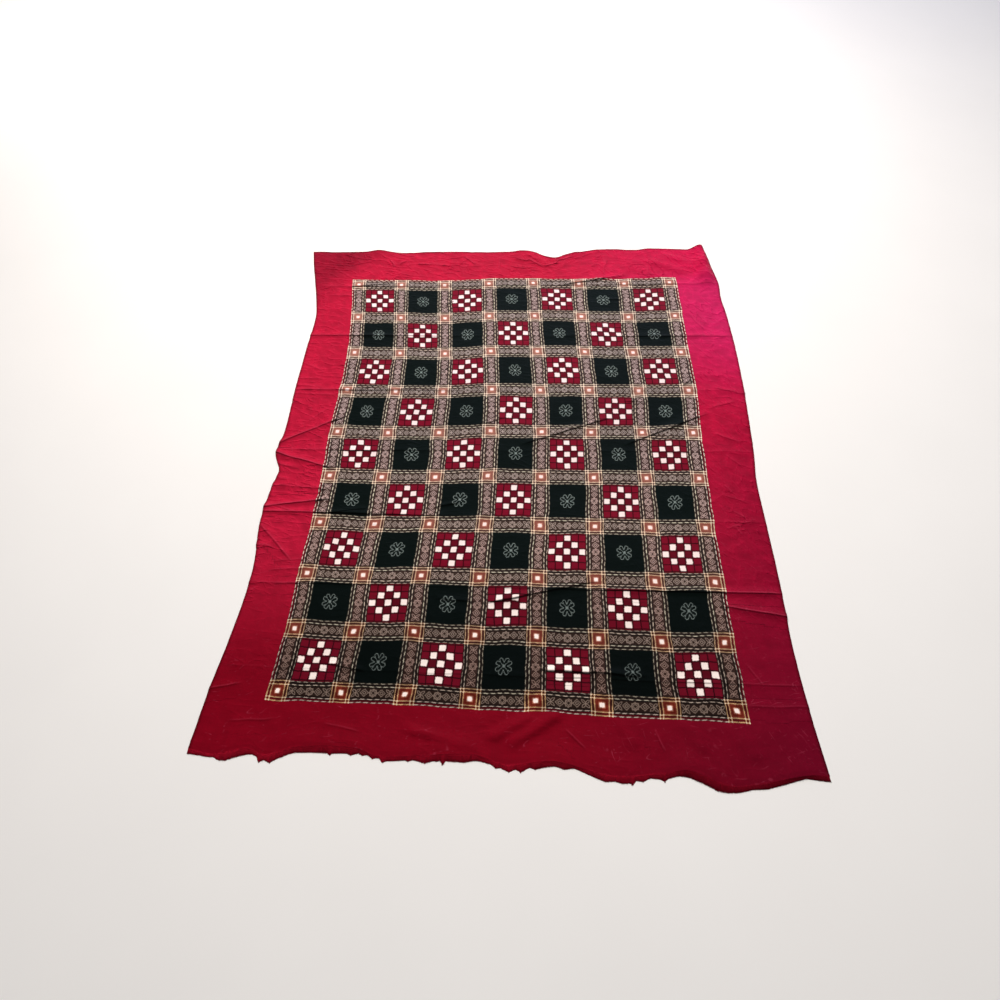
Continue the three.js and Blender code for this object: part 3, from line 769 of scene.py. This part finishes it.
    # Crests of the folds, by group: extra shade in the field, on the strips, and mm that it reaches
    height, shadow, worn = "relief3", 0.0, "creaseHighlight"
    for name, inField, reach in (("storage", 0.17, 3.2), ("main", 0.14, 4.4), ("small", 0.15, 3.8)):
        crest = addNode(tree, "ShaderNodeAttribute", out=1, attribute_name=name + "Crest")
        parts = addNode(tree, "ShaderNodeSeparateXYZ", {0: crest}).node
        made[name + "Off"], made[name + "Sharp"] = parts.outputs[0], parts.outputs[1]
        steps += [
            (name + "Near", "MULTIPLY_ADD", name + "Off", 1 / relief["crestNear"], 1.0),
            (name + "Far", "MULTIPLY_ADD", name + "Off", -1 / relief["crestFar"], 1.0),
            (name + "Ridge0", "MINIMUM", name + "Near", name + "Far"),
            (name + "Ridge1", "MAXIMUM", name + "Ridge0", 0.0),
            (name + "Ridge", "MULTIPLY", name + "Ridge1", name + "Sharp"),
            (name + "Height", "MULTIPLY_ADD", name + "Ridge", relief["crest"], height),
            # the tuck under a crest lies in its own shade
            (name + "Tuck0", "ADD", name + "Off", reach),
            (name + "Tuck1", "ABSOLUTE", name + "Tuck0"),
            (name + "Tuck2", "MULTIPLY_ADD", name + "Tuck1", -1 / reach, 1.0),
            (name + "Tuck3", "MAXIMUM", name + "Tuck2", 0.0),
            (name + "Tuck", "MULTIPLY", name + "Tuck3", name + "Sharp"),
            (name + "Dark", "MULTIPLY_ADD", "field", inField, relief["tuckShade"]),
            (name + "Shadow", "MULTIPLY_ADD", name + "Tuck", name + "Dark", shadow),
            # and the crest gets a painted highlight
            (name + "Top0", "SUBTRACT", name + "Off", relief["highlightAt"]),
            (name + "Top1", "ABSOLUTE", name + "Top0"),
            (name + "Top2", "MULTIPLY_ADD", name + "Top1", -0.3, 1.0),
            (name + "Top3", "MAXIMUM", name + "Top2", 0.0),
            (name + "Top", "MULTIPLY", name + "Top3", name + "Sharp"),
            (name + "Worn", "MULTIPLY_ADD", name + "Top", relief["worn"], worn),
        ]
        height, shadow, worn = name + "Height", name + "Shadow", name + "Worn"
    steps += [
        # painted sheen on the border's far half, less at the far edge
        ("lessFar", "MULTIPLY_ADD", "farEnd", -0.7, 1.0),
        ("farSheen", "MULTIPLY", "farSheenRamp", "lessFar"),
        ("paintedHighlight0", "MULTIPLY", worn, "plainCloth"),
        ("worn", "MINIMUM", "paintedHighlight0", 0.5),
        ("shadow", "MINIMUM", shadow, 0.85),
        ("lit", "SUBTRACT", 1.0, "shadow"),
        # painted shade along the near end
        ("hemShadeAt", "GREATER_THAN", "v", -halfLength + ikat["hemShade"]),
        ("hemShade", "MULTIPLY_ADD", "hemShadeAt", 0.06, 0.94),
        ("hemShaded", "MULTIPLY", "hemShade", "lit"),
        # painted shade: the dark parts of the pattern are darker still at the near end
        ("squares", "SUBTRACT", 1.0, "band"),
        ("red", "SUBTRACT", "squares", "odd"),
        ("pale0", "MULTIPLY", "red", "die"),
        ("pale1", "MULTIPLY", "crossing", "centre"),
        ("pale2", "MAXIMUM", "pale0", "pale1"),
        ("pale3", "MULTIPLY_ADD", "crossing", 0.8, "pale2"),
        ("pale4", "MULTIPLY_ADD", "red", 0.75, "pale3"),
        ("pale5", "MINIMUM", "pale4", 1.0),
        ("pale", "MAXIMUM", "pale5", "plainCloth"),
        ("deep", "MULTIPLY_ADD", "nearShadeRamp", 0.45, 0.55),
        ("nearShaded", "MAXIMUM", "pale", "deep"),
        # painted shade: the far left corner is darker and duller
        ("cornerAt", "SUBTRACT", "v", "u"),
        ("corner0", "MULTIPLY_ADD", "cornerAt", -0.0024, 4.95),
        ("corner1", "MINIMUM", "corner0", 1.0),
        ("corner", "MAXIMUM", "corner1", 0.6),
        # darker along the sides and the far end, to about 11 mm in from the edge
        ("halfAcross", "ABSOLUTE", "u"),
        ("edgeU", "SUBTRACT", halfWidth, "halfAcross"),
        ("edgeV", "SUBTRACT", halfLength, "v"),
        ("edgeAt", "MINIMUM", "edgeU", "edgeV"),
        ("edgeDark0", "MULTIPLY_ADD", "edgeAt", 0.055, 0.38),
        ("edgeDark", "MINIMUM", "edgeDark0", 1.0),
        # on the plain cloth: random mottle, with painted highlight on the wrinkles' ridges and painted
        # shade between them
        ("mottle0", "MULTIPLY_ADD", "mottle", 0.5, -0.44),
        ("mottleAndRidgeLight1", "MULTIPLY_ADD", "swells", 0.12, "mottle0"),
        ("mottleAndRidgeLight2", "MULTIPLY", "mottleAndRidgeLight1", "calm"),
        ("mottleAndRidgeLight", "ADD", "mottleAndRidgeLight2", 1.0),
        ("cornered0", "MULTIPLY", "hemShaded", "corner"),
        ("cornered1", "MULTIPLY", "cornered0", "edgeDark"),
        ("cornered", "MULTIPLY", "cornered1", "mottleAndRidgeLight"),
        ("toned", "MULTIPLY", "cornered", "nearShaded"),
        ("tone", "MULTIPLY", "toned", "shadeAll"),
    ]
    for name, operation, *values in steps:
        inputs = {i: made[v] if isinstance(v, str) else v for i, v in enumerate(values)}
        if operation in ("LINEAR", "SMOOTHSTEP"):
            made[name] = addNode(tree, "ShaderNodeMapRange", inputs, interpolation_type=operation)
        else:
            made[name] = addNode(tree, "ShaderNodeMath", inputs, operation=operation,
                                 use_clamp=name in clamped)
    bump = addNode(tree, "ShaderNodeBump", {"Height": made[height], "Distance": mm, "Strength": 1.0})

    # Dyes laid over each other, from the ground up
    colour = {name: linear(value) for name, value in dyes.items()}
    layers = [
        ("whites", "white", "farWhite", "farLitRamp"),
        ("square", "check", "innerCheck", "inner"),
        ("square", "square", "checkLine", "seam"),
        ("square", "square", "whites", "die"),
        ("dark", "black", "flower", "flower"),
        ("square", "square", "dark", "odd"),
        # copies of the band colours for the far end, mixed in along the length, paint the cooler far light
        # and sheen
        ("nearStrip", "stripAcross", "stripDown", "inDown"),
        ("farLitStrip", "farLitStripAcross", "farLitStripDown", "inDown"),
        ("figured", "nearStrip", "farLitStrip", "farLitRamp"),
        ("nearDrawing", "figureAcross", "figureDown", "inDown"),
        ("farLitDrawing", "farLitFigureAcross", "farLitFigureDown", "inDown"),
        ("drawing", "nearDrawing", "farLitDrawing", "farLitRamp"),
        ("figured", "figured", "drawing", "figure"),
        ("ground", "bandGround", "farLitGround", "farLitRamp"),
        ("ground", "ground", "rimGround", "outside"),
        ("bands", "ground", "figured", "strip"),
        ("crossGround", "crossGround", "farLitCrossGround", "farLitRamp"),
        ("crossGlow", "crossGlow", "farLitCrossGlow", "farLitRamp"),
        ("crossLine", "crossLine", "farLitCrossLine", "farLitRamp"),
        ("cross", "ground", "crossGround", "rust"),
        ("cross", "cross", "boss", "boss"),
        ("cross", "cross", "crossRing", "bossRing"),
        ("cross", "cross", "crossGlow", "glow"),
        ("cross", "cross", "whites", "centre"),
        ("bands", "bands", "cross", "crossing"),
        ("thread", "redLine", "line", "odd"),
        ("thread", "thread", "rimLine", "rim"),
        ("thread", "thread", "crossLine", "crossing"),
        ("thread", "thread", "crossDot", "dot"),
        ("bands", "bands", "thread", "lines"),
        # painted shade towards the near end, painted cool light and sheen on the right
        ("plain", "nearShadedBorder", "border", "nearShadeRamp"),
        ("coolLitPlain", "coolLitNearShaded", "coolLitBorder", "coolNearShadeRamp"),
        ("coolLitPlain", "coolLitPlain", "sheenBorder", "farSheen"),
        ("plain", "plain", "coolLitPlain", "cool"),
        ("all", "square", "bands", "band"),
        ("all", "plain", "all", "field"),
        ("all", "all", "wearAndHighlight", "worn"),
    ]
    for name, under, over, mask in layers:
        inputs = {0: made[mask], 6: colour[under], 7: colour[over]}
        colour[name] = addNode(tree, "ShaderNodeMix", inputs, out=2, data_type="RGBA")
    dyed = addNode(tree, "ShaderNodeVectorMath", {0: colour["all"], 3: made["tone"]}, operation="SCALE")

    rough = addNode(tree, "ShaderNodeMapRange", {0: made["shade0"], 1: 0.6, 2: 1.4, 3: 0.56, 4: 0.68})
    shader = addNode(tree, "ShaderNodeBsdfPrincipled", {
        "Base Color": dyed, "Roughness": rough, "Normal": bump, "Specular IOR Level": 0.16,
    })
    addNode(tree, "ShaderNodeOutputMaterial", {0: shader})
    return material


# The fringe: warp ends past the last picks, matted, with a few loose picks along the edge
fringe = {
    "yarns": 4200,
    "radius": 0.55,  # mm; a little stout, so that it shows
    "gather": 9,  # mm that a yarn leans for each step that the tufts rise in one mm
    "leanMost": 6,
    "stray": 0.9,  # mm that it leans or curls by chance
    "lift": (0.1, 2.4),  # mm that it arches
    "inside": 3,  # mm that it starts in from the cloth's edge
    "rings": 4,
    "sides": 3,
    "picks": (2.0, 5.5, 9.5),  # mm that the loose picks lie out
    "pickStep": 8.0,
    "matStep": 4,  # yarns from one ring of the felted underlayer to the next
    "matInside": 2,
    "matThick": 0.4,
    "deep": "#780819",
    "wearAndHighlight": "#a2142c",
    # painted shade, towards the right end
    "shadedRight": "#4a0413",
}
# How far the fringe reaches past the cloth's edge, in mm, at places across
fringeReach = [
    (-915, 15), (-875, 9), (-838, 8), (-825, 18), (-800, 25), (-750, 20), (-725, 11), (-714, 12),
    (-705, 25), (-690, 16), (-672, 27), (-650, 21), (-600, 17), (-510, 21), (-497, 27), (-485, 21),
    (-450, 19), (-435, 24), (-412, 15), (-398, 15), (-385, 6), (-369, 11), (-360, 5), (-350, 5),
    (-341, 17), (-325, 12), (-275, 12), (-265, 16), (-250, 13), (-215, 24), (-190, 18), (-170, 20),
    (-162, 33), (-154, 21), (-100, 25), (-62, 16), (-25, 12), (-10, 18), (5, 13), (30, 22),
    (48, 14), (62, 25), (88, 14), (103, 21), (160, 15), (187, 19), (215, 8), (300, 20), (325, 15),
    (345, 20), (366, 20), (377, 26), (386, 14), (405, 19), (425, 11), (450, 16), (464, 26),
    (476, 18), (500, 16), (550, 24), (605, 27), (650, 19), (700, 13), (740, 17), (800, 14),
    (850, 9), (875, 14), (915, 17),
]


def tubeRings(path, radii, sides):
    rings = []
    for k, (here, radius) in enumerate(zip(path, radii)):
        ahead = (path[min(k + 1, len(path) - 1)] - path[max(k - 1, 0)]).normalized()
        sideways = ahead.cross(Vector((0, 0, 1))).normalized()
        up = sideways.cross(ahead)
        turns = [2 * math.pi * s / sides + math.pi / 2 for s in range(sides)]
        rings.append([here + radius * (math.cos(turn) * sideways + math.sin(turn) * up) for turn in turns])
    return rings


def skinFaces(rings):
    # Quads from ring to ring, and a cap on each end
    sides = len(rings[0])
    last = (len(rings) - 1) * sides
    faces = [tuple(reversed(range(sides))), tuple(range(last, last + sides))]
    for k in range(0, last, sides):
        for s in range(sides):
            a, b = k + s, k + (s + 1) % sides
            faces.append((a, b, b + sides, a + sides))
    return faces


def buildFringe(shift):
    draw = random.Random(7)
    roots = np.linspace(-halfWidth + 1, halfWidth - 1, fringe["yarns"])
    roots = roots + [draw.uniform(-0.4, 0.4) for _ in roots]
    edge = np.full(len(roots), -halfLength)
    edgeX, edgeY = laidPlan(roots, edge)
    edgeZ = clothRise(roots, edge, edgeX, edgeY, foldsAt(edgeX, edgeY))
    places, reaches = zip(*fringeReach)
    reach = np.interp(roots, places, reaches)
    slope = (np.interp(roots + 5, places, reaches) - np.interp(roots - 5, places, reaches)) / 10
    points, faces = [], []

    def addSkin(rings):
        start = len(points)
        points.extend((p + Vector((*shift, 0))) * mm for ring in rings for p in ring)
        faces.extend(tuple(i + start for i in face) for face in skinFaces(rings))

    shares = [k / (fringe["rings"] - 1) for k in range(fringe["rings"])]
    radii = [fringe["radius"] * (1 - 0.25 * t * t) for t in shares]
    for x, y, z, long, lean in zip(edgeX, edgeY, edgeZ, reach, slope):
        length = fringe["inside"] + long * draw.uniform(0.9, 1.02)
        gathered = max(-fringe["leanMost"], min(fringe["leanMost"], lean * fringe["gather"]))
        sideways = gathered + draw.gauss(0, fringe["stray"])
        curl = draw.gauss(0, fringe["stray"])
        lift = draw.uniform(*fringe["lift"])
        start = z + fringe["radius"] + panel["thickness"] * draw.uniform(0, 0.5)
        path = []
        for t in shares:
            rest = fringe["radius"] + lift * math.sin(math.pi * t) + draw.uniform(0, 0.5) * t
            down = (1 - t) ** 1.5
            path.append(Vector((x + sideways * t * t + curl * math.sin(math.pi * t),
                                y + fringe["inside"] - length * t,
                                start * down + rest * (1 - down))))
        addSkin(tubeRings(path, radii, fringe["sides"]))

    # Felted underlayer, thin and a little shorter
    ragged = 0.9 + 0.12 * roughness(roots, edge, 5, 90)
    inside, thick = fringe["matInside"], fringe["matThick"]
    rings = []
    for k in range(0, len(roots), fringe["matStep"]):
        x, y, z, long = edgeX[k], edgeY[k], edgeZ[k], reach[k] * ragged[k]
        top = [Vector((x, y + inside - (inside + long) * t, 0.5 + (z + thick) * (1 - t) ** 1.5))
               for t in (1, 0.7, 0.35, 0)]
        rings.append(top + [p - Vector((0, 0, thick)) for p in reversed(top)])
    addSkin(rings)

    # Loose picks wander along the edge, over and under the warp ends
    across = np.arange(-halfWidth + 4, halfWidth - 4, fringe["pickStep"])
    line = np.full(len(across), -halfLength)
    x, y = laidPlan(across, line)
    z = clothRise(across, line, x, y, foldsAt(x, y))
    reach = np.interp(across, places, reaches)
    for pick, past in enumerate(fringe["picks"]):
        out = np.minimum(past, reach * 0.6) + 1.4 * roughness(across, line, 30, 60 + pick)
        fall = np.maximum(1 - (out + fringe["inside"]) / (reach + fringe["inside"]), 0) ** 1.5
        up = 1.4 + 0.6 * roughness(across, line, 12, 70 + pick)
        path = [Vector((a, b - o, h * f + u)) for a, b, o, h, f, u in zip(x, y, out, z, fall, up)]
        addSkin(tubeRings(path, [fringe["radius"]] * len(path), fringe["sides"]))

    mesh = bpy.data.meshes.new("fringe_yarns")
    mesh.from_pydata(points, [], faces)
    mesh.update()
    mesh.shade_smooth()
    yarns = bpy.data.objects.new("coverlet_fringe", mesh)
    scene.collection.objects.link(yarns)
    print("fringe:", len(roots), "yarns")
    return yarns


def cottonYarn():
    # Loose dyed warp ends: matt, a little paler where they are rubbed
    material, tree = newMaterial("cotton_yarn")
    place = addNode(tree, "ShaderNodeTexCoord", out=3)
    tone = addNode(tree, "ShaderNodeTexNoise", {"Vector": place, "Scale": 28.0, "Detail": 5.0})
    deep, wearAndHighlight, shadedRight = [linear(fringe[name]) for name in ("deep", "wearAndHighlight", "shadedRight")]
    matted = addNode(tree, "ShaderNodeMix", {0: tone, 6: deep, 7: wearAndHighlight}, out=2, data_type="RGBA")
    side = addNode(tree, "ShaderNodeSeparateXYZ", {0: place})  # painted shade: darker to the right, as on the border
    rightShade = addNode(tree, "ShaderNodeMapRange", {0: side, 1: 0.05, 2: 0.85, 3: 0.0, 4: 0.65})
    mixed = addNode(tree, "ShaderNodeMix", {0: rightShade, 6: matted, 7: shadedRight}, out=2, data_type="RGBA")
    drawn = addNode(tree, "ShaderNodeMapping", {"Vector": place, "Scale": (900, 90, 900)})
    twist = addNode(tree, "ShaderNodeTexNoise", {"Vector": drawn, "Scale": 1.0, "Detail": 2.0})
    bump = addNode(tree, "ShaderNodeBump", {"Height": twist, "Distance": 0.3 * mm, "Strength": 0.6})
    rough = addNode(tree, "ShaderNodeMapRange", {0: tone, 3: 0.85, 4: 0.97})
    shader = addNode(tree, "ShaderNodeBsdfPrincipled", {
        "Base Color": mixed, "Roughness": rough, "Normal": bump, "Specular IOR Level": 0.1,
    })
    addNode(tree, "ShaderNodeOutputMaterial", {0: shader})
    return material


cloth, shift = buildCloth()
cloth.data.materials.append(ikatCotton())
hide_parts("cloth")
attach(cloth, "root")

yarns = buildFringe(shift)
yarns.data.materials.append(cottonYarn())
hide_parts("fringe")
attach(yarns, "root")

# Pale floor that melts into a pale wall, and the camera over the near end
studio = {
    "floorSize": 16.0,
    "floorTone": "#f3f2f0",
    "floorShade": "#eeedeb",
    "fadeAbout": (0, 1, 0),
    "fadeFrom": 4.8,  # metres from there, where the floor starts to melt into the wall
    "fadeTo": 7.0,
    "wallTone": "#d9d8d6",
    "fillTone": "#f4f4f4",
    "fill": 0.06,
    "cameraAt": (0.081, -1.424, 2.048),
    "cameraTurn": (30.7, 1.73, 1.9),  # degrees about X, Y and Z: 59 down and a little askew
    "lens": 23.4,
}
# Places in metres and powers in watts; only the window shows in a shine
lights = {
    "window": {"at": (1.2, 6.2, 3.0), "to": (0.3, 0.2, 0), "size": (7.0, 3.2), "power": 125,
               "tint": "#d8e0ff", "shines": True},  # wide and cool, past the far end
    "doorway": {"at": (-0.7, 3.5, 3.4), "to": (0.1, -0.3, 0), "size": (1.5, 1.5), "power": 215,
                "tint": "#fff6ee", "shines": False},
    "ceiling": {"at": (0.3, -0.3, 4.2), "to": (0.3, -0.3, 0), "size": (6.0, 6.0), "power": 155,
                "tint": "#fcf9f6", "shines": False},
    "corner": {"at": (-3.0, 3.6, 2.2), "to": (-4.2, 5.2, 0), "size": (2.0, 2.0), "power": 50,
               "tint": "#fff8f2", "shines": False},  # on the floor alone
}


def buildFloor():
    bm = bmesh.new()
    bmesh.ops.create_grid(bm, x_segments=4, y_segments=4, size=studio["floorSize"] / 2)
    mesh = bpy.data.meshes.new("floor")
    bm.to_mesh(mesh)
    bm.free()
    floor = bpy.data.objects.new("floor", mesh)
    scene.collection.objects.link(floor)
    material, tree = newMaterial("painted_screed")  # even, matt and pale, with hardly any mottle
    place = addNode(tree, "ShaderNodeTexCoord", out=3)
    mottle = addNode(tree, "ShaderNodeTexNoise", {"Vector": place, "Scale": 2.0, "Detail": 3.0})
    tones = {0: mottle, 6: linear(studio["floorShade"]), 7: linear(studio["floorTone"])}
    tone = addNode(tree, "ShaderNodeMix", tones, out=2, data_type="RGBA")
    shader = addNode(tree, "ShaderNodeBsdfPrincipled", {
        "Base Color": tone, "Roughness": 0.9, "Specular IOR Level": 0.1,
    })
    away = addNode(tree, "ShaderNodeVectorMath", {0: place, 1: studio["fadeAbout"]}, out=1,
                   operation="DISTANCE")
    fade = addNode(tree, "ShaderNodeMapRange", {0: away, 1: studio["fadeFrom"], 2: studio["fadeTo"]},
                   interpolation_type="SMOOTHSTEP")
    gone = addNode(tree, "ShaderNodeBsdfTransparent")
    farSheenRamp = addNode(tree, "ShaderNodeMixShader", {0: fade, 1: shader, 2: gone})
    addNode(tree, "ShaderNodeOutputMaterial", {0: farSheenRamp})
    mesh.materials.append(material)


def addLight(name, look):
    lamp = bpy.data.lights.new(name, "AREA")
    lamp.shape = "RECTANGLE"
    lamp.size, lamp.size_y = look["size"]
    lamp.energy = look["power"]
    lamp.color = linear(look["tint"])[:3]
    light = bpy.data.objects.new(name, lamp)
    light.location = look["at"]
    light.visible_glossy = look["shines"]
    light.rotation_euler = (Vector(look["to"]) - Vector(look["at"])).to_track_quat("-Z", "Y").to_euler()
    scene.collection.objects.link(light)


def buildWorld():
    world = bpy.data.worlds.new("studio")
    world.use_nodes = True
    room = world.node_tree
    room.nodes.clear()
    fill = addNode(room, "ShaderNodeBackground", {0: linear(studio["fillTone"]), 1: studio["fill"]})
    wall = addNode(room, "ShaderNodeBackground", {0: linear(studio["wallTone"]), 1: 1.0})
    seen = addNode(room, "ShaderNodeLightPath")  # the wall is only looked at, the fill only lights
    both = addNode(room, "ShaderNodeMixShader", {0: seen, 1: fill, 2: wall})
    addNode(room, "ShaderNodeOutputWorld", {0: both})
    scene.world = world


def buildCamera():
    data = bpy.data.cameras.new("camera")
    data.sensor_width = 36
    data.lens = studio["lens"]
    camera = bpy.data.objects.new("camera", data)
    camera.location = studio["cameraAt"]
    camera.rotation_euler = [math.radians(turn) for turn in studio["cameraTurn"]]
    scene.collection.objects.link(camera)
    scene.camera = camera


buildFloor()
for name, look in lights.items():
    addLight(name, look)
buildWorld()
buildCamera()
print("studio: floor, four lights and the camera")
